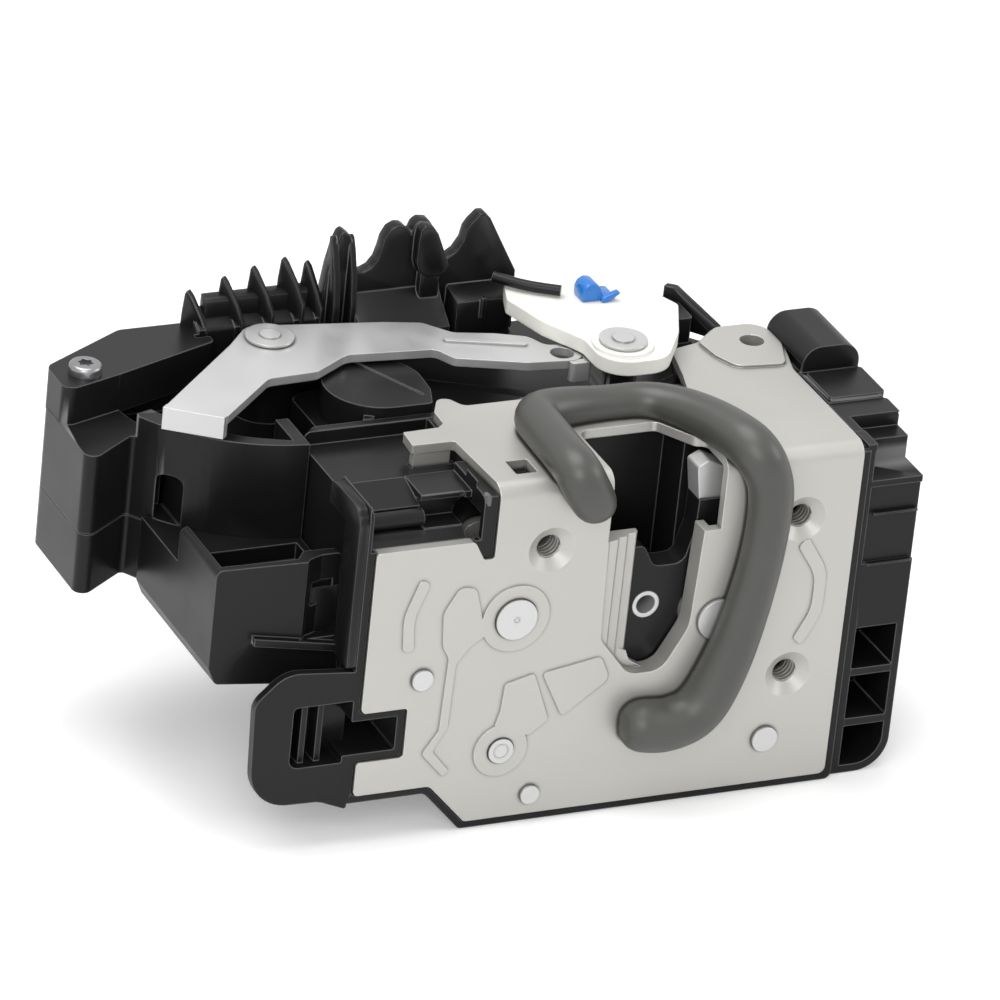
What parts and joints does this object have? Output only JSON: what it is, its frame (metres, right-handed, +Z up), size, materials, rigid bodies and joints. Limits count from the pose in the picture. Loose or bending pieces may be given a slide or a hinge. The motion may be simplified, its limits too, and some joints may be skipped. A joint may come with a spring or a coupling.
{
  "type": "door latch actuator",
  "caption": "Vehicle door latch with claw and pawl behind a stamped plate, rubber buffer, release levers and a motor driven lock in a black plastic housing.",
  "frame": {"origin": "on the axis of the upper left fixing thread, at the plate's front face", "axes": "+X right along the plate, +Y back into the latch, +Z up"},
  "size_m": [0.1604, 0.0859, 0.0948],
  "materials": {
    "zinc_steel": "satin zinc plate",
    "bright_steel": "bright turned or stamped",
    "rubber": "soft satin",
    "black_plastic": "satin moulded",
    "white_plastic": "satin moulded",
    "blue_plastic": "gloss",
    "spring_steel": "drawn wire",
    "brass": "satin",
    "green_board": "solder mask"
  },
  "bodies": {
    "housing": {"latch_plate": "zinc_steel", "rubber_buffer": "rubber", "back_plate": "zinc_steel", "pawl_rivet": "bright_steel", "claw_rivet": "bright_steel", "arm_rivet": "bright_steel", "face_rivets": "bright_steel", "latch_frame": "black_plastic", "frame_cover": "black_plastic", "claw_spring": "spring_steel", "pawl_spring": "spring_steel", "case_upper": "black_plastic", "case_lower": "black_plastic", "gear_cap": "black_plastic", "cable_rack": "black_plastic", "lever_rivet": "bright_steel", "white_rivet": "bright_steel", "lock_arm_pin": "bright_steel", "lock_motor": "zinc_steel", "motor_cradle": "black_plastic", "wheel_axle": "bright_steel", "circuit_carrier": "green_board", "lock_switch": "black_plastic", "claw_switch": "black_plastic", "side_housing": "black_plastic", "connector_pins": "brass", "case_screws": "spring_steel"},
    "claw": {"claw": "bright_steel", "claw_jacket": "black_plastic", "stop_bush": "bright_steel"},
    "pawl": {"pawl": "zinc_steel"},
    "release_arm": {"release_arm": "zinc_steel"},
    "inside_lever": {"steel_lever": "bright_steel"},
    "outside_lever": {"white_lever": "white_plastic", "rod_clip": "blue_plastic"},
    "link_rod": {"link_rod": "black_plastic"},
    "lock_arm": {"lock_arm": "black_plastic"},
    "lock_wheel": {"worm_wheel": "white_plastic"},
    "rotor": {"worm_shaft": "bright_steel", "worm": "brass"}
  },
  "joints": [
    {"name": "claw_turn", "type": "hinge", "parent": "housing", "child": "claw", "pos_m": [0.0376, 0.0079, -0.0198], "axis": [0, -1, 0], "range_deg": [0, 62]},
    {"name": "pawl_turn", "type": "hinge", "parent": "housing", "child": "pawl", "pos_m": [-0.0062, 0.0079, -0.0141], "axis": [0, 1, 0], "range_deg": [0, 9]},
    {"name": "release_turn", "type": "hinge", "parent": "housing", "child": "release_arm", "pos_m": [-0.0065, 0.0069, -0.0432], "axis": [0, 1, 0], "range_deg": [0, 10]},
    {"name": "inside_lever_turn", "type": "hinge", "parent": "housing", "child": "inside_lever", "pos_m": [-0.0337, 0.0646, 0.0167], "axis": [0, 0, -1], "range_deg": [0, 9]},
    {"name": "outside_lever_turn", "type": "hinge", "parent": "housing", "child": "outside_lever", "pos_m": [0.0308, 0.0396, 0.0195], "axis": [0, 0, 1], "range_deg": [0, 10]},
    {"name": "link_slide", "type": "slide", "parent": "housing", "child": "link_rod", "axis": [-0.8575, 0.5145, 0], "range_m": [0, 0.0042]},
    {"name": "wheel_turn", "type": "hinge", "parent": "housing", "child": "lock_wheel", "pos_m": [0.038, 0.05145, -0.008], "axis": [0, 0, 1], "range_deg": [0, 110]},
    {"name": "lock_arm_turn", "type": "hinge", "parent": "housing", "child": "lock_arm", "pos_m": [0.0515, 0.0465, 0.0105], "axis": [0, 0, 1], "range_deg": [0, 11]},
    {"name": "rotor_turn", "type": "hinge", "parent": "housing", "child": "rotor", "pos_m": [0.034, 0.0645, -0.008], "axis": [1, 0, 0], "range_deg": [0, 2650]}
  ],
  "couplings": [
    {"joint": "link_slide", "follows": "outside_lever_turn", "m_per_rad": 0.0222},
    {"joint": "lock_arm_turn", "follows": "wheel_turn", "ratio": 0.1},
    {"joint": "rotor_turn", "follows": "wheel_turn", "ratio": 24}
  ]
}
